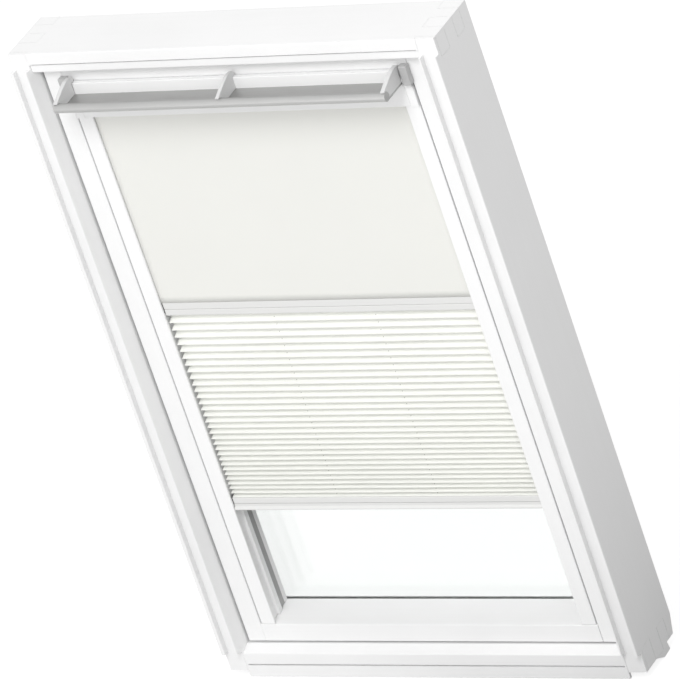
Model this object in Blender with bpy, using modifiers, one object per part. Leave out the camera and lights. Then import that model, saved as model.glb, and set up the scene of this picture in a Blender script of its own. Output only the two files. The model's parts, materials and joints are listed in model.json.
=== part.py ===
"""Centre-pivot roof window with its two-cloth blind, standing upright.

X runs across the window, +Y from the room to the outside, +Z up.  The origin is the bottom
centre of the frame's room-side face.  The sash turns about the pivot pins at half height.  The
blind hangs inside the sash: a blackout cloth from a spring roller down to the middle bar, and a
pleated cloth from the middle bar down to the bottom bar.
"""
import math

import bpy
import bmesh
from mathutils import Matrix, Vector

MM = 0.001
OBJECT_NAME = "skylight_window_blind"
GAP = 0.3 * MM               # between pieces that touch
OVER = 1 * MM                # how far a cutter runs past what it cuts

# Frame boards
FRAME_WIDTH = 780 * MM
FRAME_HEIGHT = 1178 * MM
FRAME_DEPTH = 127 * MM
BOARD = 37 * MM              # thickness of the sides and the head
BOARD_FACE = 31 * MM         # room-side face of the sides, in front of the slanted edge
HEAD_FACE = 36 * MM
SILL_BOARD = 42 * MM
SILL_FACE = 33 * MM
SLANT_DEPTH = 29 * MM        # how deep the slanted edge runs
REBATE = 11 * MM             # head, sill and the band between the sides' ribs stand this far back
OUTER_RIB = 7 * MM           # width of the sides' outer rib
RIB_START = 28 * MM          # their inner rib, from here to the edge of the face
RIB_TOP = 28.5 * MM          # upper end of the ribs, below the frame's top
RIB_LOW = 37 * MM            # and their lower end
EDGE_ROUND = 2 * MM
CORNER_ROUND = 1.5 * MM
FINGERS = (18 * MM, 47 * MM, 76 * MM, 102 * MM)   # depths where the finger joints change over
LINE_INSET = 21 * MM         # joint line of the lining in the head, from its outer edge
SILL_LINE_HEIGHT = 11 * MM   # and in the sill
LINE_WIDTH = 3 * MM
LINE_DEPTH = 6 * MM
HEAD_STEP = 3 * MM           # head's band under that line, behind the rest of its face
TONGUE_DROP = 13 * MM        # drip tongue under the sill, and the lip at its front
TONGUE_START = 49 * MM
TONGUE_FRONT = 73 * MM
TONGUE_BACK = 95 * MM
TONGUE_TAPER = 3 * MM
REAR_LIFT = 3.5 * MM
REAR_CHAMFER = 11 * MM
REAR_CHAMFER_HEIGHT = 40 * MM

# Sash
RUNNING_GAP = 4 * MM         # all round, between sash and frame
SASH_RECESS = 1 * MM         # sash face behind the end of the slanted edge
SASH_DEPTH = 82 * MM
SASH_FACE = 33.3 * MM          # sides
SASH_SILL_FACE = 32 * MM
SASH_HEAD_FACE = 47 * MM
SASH_LEG = 13 * MM           # beside the edge of the glass
SILL_RISE = 12 * MM          # slope of the sash's bottom member up to the glass
SHOULDER = 15 * MM           # ledge that the blind's rail stands against
BEAD = 11 * MM               # glazing bead, inward from the light seal's groove
GLASS_SEAT = 56.5 * MM       # from the sash's face to the seat of the glass

# Glazing
GLASS_CLEARANCE = 3 * MM
GLASS_LIFT = 1 * MM          # on its setting blocks
GLASS_HEADROOM = 2 * MM
PANE = 4 * MM
CAVITY = 14 * MM
SPACER_WIDTH = 10 * MM
GASKET = 2 * MM
GASKET_WIDTH = 9 * MM
GASKET_INSET = 1 * MM
SPACER_INSET = 4 * MM
COVER_SHEET = 2 * MM
COVER_OVERLAP = 20 * MM
COVER_INSET = 0.5 * MM

# Pivot hinges
HINGE_DEPTH = 63 * MM        # pivot axis behind the frame's room-side face
HINGE_PLATE = 3 * MM
HINGE_WIDTH = 40 * MM
HINGE_SHORT = 22 * MM        # plate's end on the far side of the pin from its screw
HINGE_LONG = 58 * MM
SCREW_FROM_PIN = 40 * MM
PIN_RADIUS = 5 * MM
PIN_REACH = 7.5 * MM         # inward from the frame's lining face
COLLAR_RADIUS = 9 * MM
SCREW_HEAD = 4 * MM          # radius
SCREW_HEAD_DEPTH = 2 * MM
SCREW_RADIUS = 2 * MM
SCREW_LENGTH = 16 * MM
SCREW_OVER = 2 * MM          # how far the cutters of its hole run past it
POCKET_OVER = 5 * MM         # and those of the plates' pockets

# Lock
LOCK_WIDTH = 100 * MM
LOCK_DEPTH = 32 * MM
LOCK_HEIGHT = 34 * MM
LOCK_RECESS = 1 * MM         # below the sash's edge
LOCK_WALL = 2 * MM
TONGUE_WIDTH = 24 * MM
TONGUE_THICK = 14 * MM
TONGUE_ROUND = 1 * MM
TONGUE_REACH = 7 * MM        # above the sash
TONGUE_TRAVEL = 10 * MM
STRIKE_WIDTH = 48 * MM
STRIKE_THICK = 2 * MM
STRIKE_ROOM = 2.7 * MM

# Ventilation flap and control bar
FLAP_HEIGHT = 21 * MM
FLAP_THICK = 9 * MM
FLAP_TOP = 61 * MM           # below the top of the frame
FLAP_CLEARANCE = 1.5 * MM
FLAP_AXIS_RISE = 4 * MM      # hinge axis above the flap's top edge
FLAP_AXIS_DEPTH = 3.5 * MM   # and behind its front
FLAP_SEAL_INSET = 2 * MM
FLAP_SEAL_WIDTH = 3 * MM
BAR_NOSE_RADIUS = 7.8 * MM
BAR_REACH = 54.5 * MM        # from the flap's hinge axis to the middle of the nose
BAR_DROP = 18.5 * MM
BAR_WEB = 2.5 * MM
ARM_BROW = ((-1, 6), (-15, 6.5), (-28.5, 2.5))   # mm from the flap's hinge axis, as (y, z)
ARM_TIP = (-3.5, 9.8)        # mm from the middle of the nose
WEB_DROP = 5 * MM            # web's top below the middle of the nose
END_ARM = 7 * MM
ARM_CLEARANCE = 2 * MM       # from the end arms to the brackets
MIDDLE_ARM = 6 * MM
FLAP_PIN_RADIUS = 2 * MM
BRACKET_WIDTH = 14 * MM
BRACKET_INSET = 30.2 * MM    # from the sash's edge
BRACKET_LIFT = 2 * MM        # above the casing
BRACKET_DEPTH = 12 * MM
BRACKET_ROUND = 1.5 * MM
BRACKET_RISE = 5 * MM        # above the flap's hinge axis
PIN_START = 1 * MM           # from the end arm's inner face
PIN_IN_BRACKET = 10 * MM
VENT_SLOTS = 3               # each side of the lock
VENT_START = 20 * MM         # from the lock's end
VENT_BRIDGE = 12 * MM        # wood between two slots
VENT_SLOT_HEIGHT = 9 * MM
VENT_OUTLET_HEIGHT = 4 * MM
FILTER_DEPTH = 22 * MM
FILTER_HEIGHT = 30 * MM
FILTER_END = 81 * MM         # from the sash's edge
FILTER_COVER = 18 * MM       # wood in front of the filter
FILTER_ROOF = 5 * MM         # and above it

# Blind rails and casing
RAIL_WIDTH = 26 * MM
RAIL_DEPTH = 32.2 * MM
RAIL_CLEARANCE = 0.4 * MM    # behind the rails
RAIL_SIDE_GAP = 2.2 * MM     # shadow gap between the rails and the sash
RAIL_FOOT_GAP = 1.2 * MM     # above the slope of the sash's sill
RAIL_LIP = 4 * MM            # front wall of the rail, before its groove
RAIL_GROOVE = 18 * MM
RAIL_GROOVE_DEPTH = 5 * MM
RAIL_WALL = 3.5 * MM
LIGHT_SEAL = 14.4 * MM
CASING_HEIGHT = 40.8 * MM
CASING_PLAY = 0.5 * MM       # under the sash's head
CASING_DEPTH = 34.8 * MM
CASING_PROUD = 3 * MM        # casing in front of the sash's face
CASING_WALL = 1.8 * MM
CASING_ROUND = 5 * MM
CASING_EDGE = 2 * MM         # its smaller roundings
CASING_LIP = 6 * MM
CAP_WIDTH = 14.2 * MM
CAP_ROUND = 8 * MM
CAP_BORE = 10 * MM           # depth of its bearing

# Roller
TUBE_RADIUS = 7.5 * MM
TUBE_WALL = 1 * MM
ROLL_RADIUS = 11 * MM        # tube with the cloth still wound on it
ROLL_GAP = 3 * MM
ROLLER_PIN = 2.5 * MM
PLUG_LENGTH = 20 * MM
SPRING_TURNS = 9
SPRING_STEPS = 10            # points a turn
SPRING_WIRE = 0.8 * MM       # radius
SPRING_LENGTH = 180 * MM

# Cloths and bars; heights are at rest
CLOTH = 0.5 * MM
CLOTH_PLAY = 0.5 * MM        # behind the rail's lip
CLOTH_EDGE = 1.5 * MM        # from the cloth's edge to the bottom of the rail's groove
MIDDLE_BAR_HEIGHT = 12.5 * MM
PLEAT_RAIL_HEIGHT = 10.9 * MM
MIDDLE_LINE = 683.7 * MM     # joint between the middle bar and the pleats' top rail
BOTTOM_LINE = 311.3 * MM     # joint between the pleats' bottom rail and the bottom bar
BOTTOM_BAR_HEIGHT = 11.2 * MM
BAR_DEPTH = 16.4 * MM
BAR_END_GAP = 0.6 * MM
GUIDE_REACH = 4 * MM         # into the rail's groove
GUIDE_LENGTH = 19 * MM
GUIDE_INSET = 1 * MM         # inside the bar's front, back and end
BAR_ROUND = 1 * MM
GRIP = 2.5 * MM              # how far the bottom bar's grip stands forward
PLEATS = 31
PLEAT_FACE = 15.5 * MM       # flat cloth from one fold to the next
PLEAT_SPREAD = 1.73          # height of the top pleat over that of the lowest
PLEAT_CLOTH = 1.2 * MM       # measured from front to back

# Weather seal round the sash's edge
SEAL_DEPTH = (90 * MM, 98 * MM)
SEAL_THICK = 2.1 * MM

# Places worked out from the sizes above
FRAME_X = FRAME_WIDTH / 2
OPENING_X = FRAME_X - BOARD
SASH_X = OPENING_X - RUNNING_GAP
SASH_LOW = SILL_BOARD + RUNNING_GAP
SASH_HIGH = FRAME_HEIGHT - BOARD - RUNNING_GAP
SASH_FRONT = SLANT_DEPTH + SASH_RECESS
SASH_BACK = SASH_FRONT + SASH_DEPTH
SASH_INNER_X = SASH_X - SASH_FACE
SASH_SILL_TOP = SASH_LOW + SASH_SILL_FACE
SASH_HEAD_LOW = SASH_HIGH - SASH_HEAD_FACE
SEAT_Y = SASH_FRONT + GLASS_SEAT
SHOULDER_Y = SASH_FRONT + RAIL_DEPTH + RAIL_CLEARANCE
SHOULDER_X = SASH_INNER_X - SHOULDER
BEAD_Y = SHOULDER_Y + LIGHT_SEAL + 2 * GAP
BEAD_X = SHOULDER_X - BEAD
LEG_X = SASH_X - SASH_LEG
PIVOT_Z = (SASH_LOW + SASH_HIGH) / 2
GLASS_X = LEG_X - GLASS_CLEARANCE
GLASS_LOW = SASH_LOW + SASH_LEG + GLASS_CLEARANCE + GLASS_LIFT
GLASS_HIGH = SASH_HIGH - SASH_LEG - GLASS_CLEARANCE - GLASS_HEADROOM
PANE_Y = SEAT_Y + GASKET
OUTER_PANE_Y = PANE_Y + PANE + CAVITY
RAIL_OUTER_X = SASH_INNER_X - RAIL_SIDE_GAP
RAIL_INNER_X = RAIL_OUTER_X - RAIL_WIDTH
GROOVE_Y = SASH_FRONT + RAIL_LIP
GROOVE_X = RAIL_INNER_X + RAIL_GROOVE_DEPTH
CASING_TOP = SASH_HEAD_LOW - CASING_PLAY
CASING_LOW = CASING_TOP - CASING_HEIGHT
CASING_FRONT = SASH_FRONT - CASING_PROUD
CASING_BACK = CASING_FRONT + CASING_DEPTH
CASING_X = RAIL_OUTER_X - CAP_WIDTH - GAP
CLOTH_Y = GROOVE_Y + CLOTH_PLAY
ROLLER_Y = CLOTH_Y + CLOTH + GAP + ROLL_RADIUS
ROLLER_Z = (CASING_TOP + CASING_LOW) / 2
ROLL_X = CASING_X - ROLL_GAP
CLOTH_X = GROOVE_X - CLOTH_EDGE
BAR_X = RAIL_INNER_X - BAR_END_GAP
BAR_Y = CLOTH_Y + GAP
FLAP_HIGH = FRAME_HEIGHT - FLAP_TOP
FLAP_BACK = SASH_FRONT - FLAP_CLEARANCE
FLAP_FRONT = FLAP_BACK - FLAP_THICK
BRACKET_X = SASH_X - BRACKET_INSET - BRACKET_WIDTH
FLAP_X = BRACKET_X - ARM_CLEARANCE - END_ARM - GAP
AXIS_Y = FLAP_FRONT + FLAP_AXIS_DEPTH
AXIS_Z = FLAP_HIGH + FLAP_AXIS_RISE
NOSE_Y = AXIS_Y - BAR_REACH
NOSE_Z = AXIS_Z - BAR_DROP
WEB_TOP = NOSE_Z - WEB_DROP
ARM_X = FLAP_X + GAP + END_ARM + GAP

# Colours as seen in soft white light, with roughness and metallic value
WHITE_PAINT = ((0.90, 0.90, 0.90), 0.35, 0.0)
FRAME_PAINT = ((0.88, 0.88, 0.88), 0.4, 0.0)
STEEL = ((0.62, 0.62, 0.60), 0.35, 1.0)
ALUMINIUM = ((0.68, 0.68, 0.67), 0.3, 1.0)
GREY_PLASTIC = ((0.48, 0.48, 0.48), 0.5, 0.0)
BLACK_RUBBER = ((0.04, 0.04, 0.04), 0.7, 0.0)
GLASS = ((0.92, 0.96, 0.95), 0.02, 0.0)
BLACKOUT = ((0.87, 0.87, 0.82), 0.85, 0.0)
PLEAT_FABRIC = ((0.90, 0.90, 0.85), 0.85, 0.0)
FOAM = ((0.25, 0.25, 0.25), 0.95, 0.0)
NYLON = ((0.80, 0.78, 0.72), 0.5, 0.0)

SIDES = (("left", -1), ("right", 1))

# Local u, v and w of an outline drawn across each axis
ACROSS = {
    "x": Matrix(((0, 0, 1), (1, 0, 0), (0, 1, 0))),
    "y": Matrix(((1, 0, 0), (0, 0, -1), (0, 1, 0))),
    "z": Matrix.Identity(3),
}
ALONG = {"x": Vector((1, 0, 0)), "y": Vector((0, 1, 0)), "z": Vector((0, 0, 1))}


def clear_scene():
    for item in list(bpy.data.objects):
        bpy.data.objects.remove(item, do_unlink=True)


def new_collection(name):
    group = bpy.data.collections.new(name)
    bpy.context.scene.collection.children.link(group)
    return group


def paint(item, finish):
    """A Principled material of this piece's own."""
    colour, roughness, metallic = finish
    surface = bpy.data.materials.new(item.name)
    surface.use_nodes = True
    shader = surface.node_tree.nodes["Principled BSDF"]
    shader.inputs["Base Color"].default_value = (*colour, 1)
    shader.inputs["Roughness"].default_value = roughness
    shader.inputs["Metallic"].default_value = metallic
    item.data.materials.clear()
    item.data.materials.append(surface)


def place(name, mesh, finish, matrix):
    """Puts a mesh in the scene as a part, or as a cutter where it has no finish."""
    item = bpy.data.objects.new(name, mesh)
    item.matrix_world = matrix
    if finish is None:
        CUTTERS.objects.link(item)
        item.display_type = "WIRE"
        item.hide_render = True
    else:
        PARTS.objects.link(item)
        paint(item, finish)
    return item


def weld(mesh):
    work = bmesh.new()
    work.from_mesh(mesh)
    bmesh.ops.remove_doubles(work, verts=work.verts, dist=0.00001)
    bmesh.ops.recalc_face_normals(work, faces=work.faces)
    work.to_mesh(mesh)
    work.free()


def mesh_from_curve(name, curve):
    """The welded mesh of a curve, which is then removed."""
    guide = bpy.data.objects.new(name + "_curve", curve)
    bpy.context.scene.collection.objects.link(guide)
    graph = bpy.context.evaluated_depsgraph_get()
    mesh = bpy.data.meshes.new_from_object(guide.evaluated_get(graph))
    mesh.name = name
    bpy.data.objects.remove(guide, do_unlink=True)
    bpy.data.curves.remove(curve)
    weld(mesh)
    return mesh


def extrusion(name, outlines, axis, start, end, finish):
    """A flat outline, or a list of an outline and its holes, extruded along an axis.

    Outlines are (y, z) points across X, (x, z) points across Y, or (x, y) points across Z.
    """
    loops = outlines if isinstance(outlines[0], list) else [outlines]
    curve = bpy.data.curves.new(name, "CURVE")
    curve.dimensions = "2D"
    curve.fill_mode = "BOTH"
    curve.extrude = abs(end - start) / 2
    for loop in loops:
        spline = curve.splines.new("POLY")
        spline.points.add(len(loop) - 1)
        for point, (u, v) in zip(spline.points, loop):
            point.co = (u, v, 0, 1)
        spline.use_cyclic_u = True
    mesh = mesh_from_curve(name, curve)
    matrix = ACROSS[axis].to_4x4()
    matrix.translation = ALONG[axis] * (start + end) / 2
    return place(name, mesh, finish, matrix)


def box(name, x, y, z, finish, rounding=0.0):
    """A box given by its three ranges, each in either order, its edges rounded where asked."""
    low = Vector((min(x), min(y), min(z)))
    high = Vector((max(x), max(y), max(z)))
    work = bmesh.new()
    bmesh.ops.create_cube(work, size=1)
    bmesh.ops.scale(work, vec=high - low, verts=work.verts)
    mesh = bpy.data.meshes.new(name)
    work.to_mesh(mesh)
    work.free()
    item = place(name, mesh, finish, Matrix.Translation((low + high) / 2))
    if rounding:
        bevel = item.modifiers.new("rounding", "BEVEL")
        bevel.width = rounding
        bevel.segments = 2
    return item


def rod(name, centre, axis, length, radius, finish, sides=20):
    """A cylinder about an axis through its centre."""
    work = bmesh.new()
    bmesh.ops.create_cone(work, cap_ends=True, segments=sides, radius1=radius, radius2=radius, depth=length)
    mesh = bpy.data.meshes.new(name)
    work.to_mesh(mesh)
    work.free()
    matrix = ACROSS[axis].to_4x4()
    matrix.translation = centre
    item = place(name, mesh, finish, matrix)
    item.data.shade_smooth()
    item.data.set_sharp_from_angle(angle=math.radians(40))
    return item


def ring(name, half, inner_half, depth, low, high, width, finish):
    """A flat frame between two depths; width is its height along the bottom and the top."""
    outside = [(-half, low), (half, low), (half, high), (-half, high)]
    inside = [
        (-inner_half, low + width), (inner_half, low + width), (inner_half, high - width),
        (-inner_half, high - width)]
    return extrusion(name, [outside, inside], "y", *depth, finish)


def cut(item, *cutters, operation="DIFFERENCE"):
    for cutter in cutters:
        boolean = item.modifiers.new(cutter.name, "BOOLEAN")
        boolean.operation = operation
        boolean.object = cutter
    return item


def axis_empty(name, location):
    empty = bpy.data.objects.new(name, None)
    empty.location = location
    PARTS.objects.link(empty)
    bpy.context.view_layer.update()
    return empty


def carry(empty, *items):
    """Parents pieces to the empty on their joint's axis, where they stand."""
    for item in items:
        item.parent = empty
        item.matrix_parent_inverse = empty.matrix_world.inverted()


def rounded(corners, steps=3):
    """The outline through corners (u, v) or (u, v, radius), with arcs at those that have a radius."""
    outline = []
    for index, corner in enumerate(corners):
        here = Vector(corner[:2])
        if len(corner) == 2:
            outline.append(tuple(here))
            continue
        back = (Vector(corners[index - 1][:2]) - here).normalized()
        ahead = (Vector(corners[(index + 1) % len(corners)][:2]) - here).normalized()
        half = math.acos(back.dot(ahead)) / 2
        centre = here + (back + ahead).normalized() * corner[2] / math.sin(half)
        reach = corner[2] / math.tan(half)
        start = here + back * reach - centre
        end = here + ahead * reach - centre
        turn = math.atan2(start.x * end.y - start.y * end.x, start.dot(end))
        for step in range(steps + 1):
            angle = turn * step / steps
            outline.append((
                centre.x + start.x * math.cos(angle) - start.y * math.sin(angle),
                centre.y + start.x * math.sin(angle) + start.y * math.cos(angle),
            ))
    return outline


def arc(centre, radius, first, last, steps):
    """Points of an arc, angles in degrees."""
    points = []
    for step in range(steps + 1):
        angle = math.radians(first + (last - first) * step / steps)
        points.append((centre[0] + radius * math.cos(angle), centre[1] + radius * math.sin(angle)))
    return points


def board_inner(face, thick, front, depth):
    """How far a frame board, whose face lies at front, reaches inward from its outer face at a depth."""
    return face + (thick - face) * (min(max(depth, front), SLANT_DEPTH) - front) / (SLANT_DEPTH - front)


def board_slice(face, thick, front, first, last):
    """A frame board's section between two depths, grown by the gap, as (inward, depth) points."""
    points = [(-OVER, first), (board_inner(face, thick, front, first) + GAP, first)]
    if first < SLANT_DEPTH < last:
        points.append((thick + GAP, SLANT_DEPTH))
    points += [(board_inner(face, thick, front, last) + GAP, last), (-OVER, last)]
    return points


def finger_slices(face, thick, front, own):
    """The slices where the sides run through (own is 0) or where the head and sill do (own is 1)."""
    edges = [-OVER, *FINGERS, FRAME_DEPTH + OVER]
    slices = []
    for index in range(own, len(edges) - 1, 2):
        first = edges[index] - (GAP if index else 0)
        last = edges[index + 1] + (GAP if index < len(edges) - 2 else 0)
        slices.append(board_slice(face, thick, front, first, last))
    return slices


def make_frame():
    """Two sides with a rib along each edge, and the head and sill that stand back behind the ribs."""
    side_outline = rounded([
        (0, 0, CORNER_ROUND), (OUTER_RIB, 0, CORNER_ROUND), (OUTER_RIB, REBATE), (RIB_START, REBATE),
        (RIB_START, 0), (BOARD_FACE, 0, EDGE_ROUND), (BOARD, SLANT_DEPTH), (BOARD, FRAME_DEPTH),
        (0, FRAME_DEPTH, CORNER_ROUND)])
    band = REBATE + HEAD_STEP
    head_outline = rounded([
        (REBATE, FRAME_HEIGHT, CORNER_ROUND), (REBATE, FRAME_HEIGHT - LINE_INSET),
        (band, FRAME_HEIGHT - LINE_INSET), (band, FRAME_HEIGHT - HEAD_FACE, EDGE_ROUND),
        (SLANT_DEPTH, FRAME_HEIGHT - BOARD), (FRAME_DEPTH, FRAME_HEIGHT - BOARD),
        (FRAME_DEPTH, FRAME_HEIGHT, CORNER_ROUND)])
    head = extrusion("frame_head", head_outline, "x", -FRAME_X, FRAME_X, FRAME_PAINT)
    sill_outline = rounded([
        (REBATE, -TONGUE_DROP, CORNER_ROUND), (REBATE, SILL_FACE, EDGE_ROUND), (SLANT_DEPTH, SILL_BOARD),
        (FRAME_DEPTH, SILL_BOARD), (FRAME_DEPTH, REAR_CHAMFER_HEIGHT),
        (FRAME_DEPTH - REAR_CHAMFER, REAR_LIFT), (TONGUE_BACK - TONGUE_TAPER, REAR_LIFT),
        (TONGUE_BACK, TONGUE_TAPER / 2 - TONGUE_DROP),
        (TONGUE_FRONT, -TONGUE_DROP), (TONGUE_START, 0), (FINGERS[0], 0), (FINGERS[0], -TONGUE_DROP)])
    sill = extrusion("frame_sill", sill_outline, "x", -FRAME_X, FRAME_X, FRAME_PAINT)
    sides = {}
    for name, sign in SIDES:
        outline = [(sign * (FRAME_X - inward), depth) for inward, depth in side_outline]
        sides[name] = extrusion("frame_side_" + name, outline, "z", 0, FRAME_HEIGHT, FRAME_PAINT)

    # Finger joints: the sides run through the first, third and last slice
    for name, sign in SIDES:
        near = sign * (OPENING_X - OVER)
        far = sign * (FRAME_X + OVER)
        for index, points in enumerate(finger_slices(BOARD_FACE, BOARD, 0, 0)):
            outline = [(sign * (FRAME_X - inward), depth) for inward, depth in points]
            label = f"{name}_{index}"
            top = FRAME_HEIGHT + OVER
            cut(head, extrusion("head_finger_" + label, outline, "z", FRAME_HEIGHT - 2 * BOARD, top, None))
            under = -GAP if index == 1 else -TONGUE_DROP - OVER   # the drip tongue runs on under the second
            cut(sill, extrusion("sill_finger_" + label, outline, "z", under, 2 * SILL_BOARD, None))
        for index, points in enumerate(finger_slices(HEAD_FACE, BOARD, band, 1)):
            outline = [(depth, FRAME_HEIGHT - inward) for inward, depth in points]
            cut(sides[name], extrusion(f"side_top_{name}_{index}", outline, "x", near, far, None))
        for index, points in enumerate(finger_slices(SILL_FACE, SILL_BOARD, REBATE, 1)):
            outline = [(depth, inward) for inward, depth in points]
            cut(sides[name], extrusion(f"side_low_{name}_{index}", outline, "x", near, far, None))
        rear = [
            (TONGUE_BACK, -OVER), (TONGUE_BACK, REAR_LIFT), (FRAME_DEPTH - REAR_CHAMFER, REAR_LIFT),
            (FRAME_DEPTH, REAR_CHAMFER_HEIGHT), (FRAME_DEPTH + OVER, REAR_CHAMFER_HEIGHT),
            (FRAME_DEPTH + OVER, -OVER)]
        cut(sides[name], extrusion("rear_chamfer_" + name, rear, "x", near, far, None))
        for label, z in (
                ("top", (FRAME_HEIGHT - RIB_TOP, FRAME_HEIGHT + OVER)), ("low", (-OVER, RIB_LOW))):
            cut(sides[name], box(f"rib_{label}_{name}", (near, far), (-OVER, REBATE), z, None))

    # Joint line of the lining, across the faces of head and sill
    half = LINE_WIDTH / 2
    reach = (REBATE - OVER, REBATE + LINE_DEPTH)
    across = (-OPENING_X, OPENING_X)
    for board, height in ((head, FRAME_HEIGHT - LINE_INSET), (sill, SILL_LINE_HEIGHT)):
        cut(board, box("line_" + board.name, across, reach, (height - half, height + half), None))
    return head, sill, sides


def sash_side_section(grow=0.0, over=0.0):
    """A sash side's section as (x, y) points on the right, grown where the head and sill meet it."""
    return [
        (SASH_X + over, SASH_FRONT - over), (SASH_INNER_X - grow, SASH_FRONT - over),
        (SASH_INNER_X - grow, SHOULDER_Y - grow), (SHOULDER_X - grow, SHOULDER_Y - grow),
        (SHOULDER_X - grow, BEAD_Y - grow), (BEAD_X - grow, BEAD_Y - grow),
        (BEAD_X - grow, SEAT_Y + grow), (LEG_X - grow, SEAT_Y + grow),
        (LEG_X - grow, SASH_BACK + over), (SASH_X + over, SASH_BACK + over)]


def make_sash():
    """Four members with the rebates that the glass and the blind's rails stand in."""
    sides = {}
    cutters = []
    for name, sign in SIDES:
        section = [(sign * x, y) for x, y in sash_side_section()]
        section[:2] = [(x, y, EDGE_ROUND) for x, y in section[:2]]
        sides[name] = extrusion("sash_side_" + name, rounded(section), "z", SASH_LOW, SASH_HIGH, WHITE_PAINT)
        section = [(sign * x, y) for x, y in sash_side_section(GAP, OVER)]
        reach = (SASH_LOW - OVER, SASH_HIGH + OVER)
        cutters.append(extrusion("sash_corner_" + name, section, "z", *reach, None))
    leg_top = GLASS_LOW - GLASS_CLEARANCE
    sill = extrusion("sash_sill", rounded([
        (SASH_FRONT, SASH_LOW), (SASH_FRONT, SASH_SILL_TOP, CORNER_ROUND),
        (SEAT_Y, SASH_SILL_TOP + SILL_RISE),
        (SEAT_Y, leg_top), (SASH_BACK, leg_top), (SASH_BACK, SASH_LOW)]), "x", -SASH_X, SASH_X, WHITE_PAINT)
    leg_low = GLASS_HIGH + GLASS_CLEARANCE
    head = extrusion("sash_head", [
        (SASH_FRONT, SASH_HIGH), (SASH_FRONT, SASH_HEAD_LOW), (SEAT_Y, SASH_HEAD_LOW),
        (SEAT_Y, leg_low), (SASH_BACK, leg_low), (SASH_BACK, SASH_HIGH)], "x", -SASH_X, SASH_X, WHITE_PAINT)
    cut(sill, *cutters)
    cut(head, *cutters)
    return head, sill, sides


def make_glazing():
    """Two panes on a spacer frame, a gasket on each side, and the outside cover that holds them in."""
    made = []
    for name, y in (("inner_pane", PANE_Y), ("outer_pane", OUTER_PANE_Y)):
        made.append(box(name, (-GLASS_X, GLASS_X), (y, y + PANE), (GLASS_LOW, GLASS_HIGH), GLASS))
    half = GLASS_X - SPACER_INSET
    made.append(ring(
        "spacer_frame", half, half - SPACER_WIDTH, (PANE_Y + PANE + GAP, OUTER_PANE_Y - GAP),
        GLASS_LOW + SPACER_INSET, GLASS_HIGH - SPACER_INSET, SPACER_WIDTH, ALUMINIUM))
    half = BEAD_X + GASKET_INSET + GASKET_WIDTH
    made.append(ring(
        "inner_gasket", half, half - GASKET_WIDTH, (SEAT_Y + GAP, PANE_Y - GAP),
        SASH_SILL_TOP + SILL_RISE - GASKET_INSET - GASKET_WIDTH, SASH_HEAD_LOW + GASKET_INSET + GASKET_WIDTH,
        GASKET_WIDTH, BLACK_RUBBER))
    made.append(ring(
        "outer_gasket", GLASS_X, GLASS_X - GASKET_WIDTH, (OUTER_PANE_Y + PANE + GAP, SASH_BACK),
        GLASS_LOW, GLASS_HIGH, GASKET_WIDTH, BLACK_RUBBER))
    width = SASH_LEG + COVER_OVERLAP - COVER_INSET
    depth = (SASH_BACK + GAP, SASH_BACK + GAP + COVER_SHEET)
    cover = ring(
        "glazing_cover", SASH_X - COVER_INSET, LEG_X - COVER_OVERLAP, depth, SASH_LOW + COVER_INSET,
        SASH_HIGH - COVER_INSET, width, ALUMINIUM)
    return [*made, cover], cover


def screw(name, tip_side, x, z):
    """A flat-headed screw along X, its head's face at x; tip_side is the sign of its point."""
    middle = x + tip_side * SCREW_HEAD_DEPTH / 2
    head = rod(name, (middle, HINGE_DEPTH, z), "x", SCREW_HEAD_DEPTH, SCREW_HEAD, STEEL, 12)
    length = SCREW_LENGTH - SCREW_HEAD_DEPTH / 2
    centre = (middle + tip_side * length / 2, HINGE_DEPTH, z)
    cut(head, rod(name + "_shank", centre, "x", length, SCREW_RADIUS, None, 12), operation="UNION")
    return head


def screw_hole(name, tip_side, x, z):
    """Cutters for that screw: its shank's hole and the counterbore of its head."""
    holes = []
    for label, deep, radius in (
            ("_hole", SCREW_LENGTH + SCREW_OVER, SCREW_RADIUS),
            ("_seat", SCREW_HEAD_DEPTH + GAP, SCREW_HEAD)):
        centre = (x + tip_side * (deep - SCREW_OVER) / 2, HINGE_DEPTH, z)
        holes.append(rod(name + label, centre, "x", deep + SCREW_OVER, radius + GAP, None, 12))
    return holes


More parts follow.
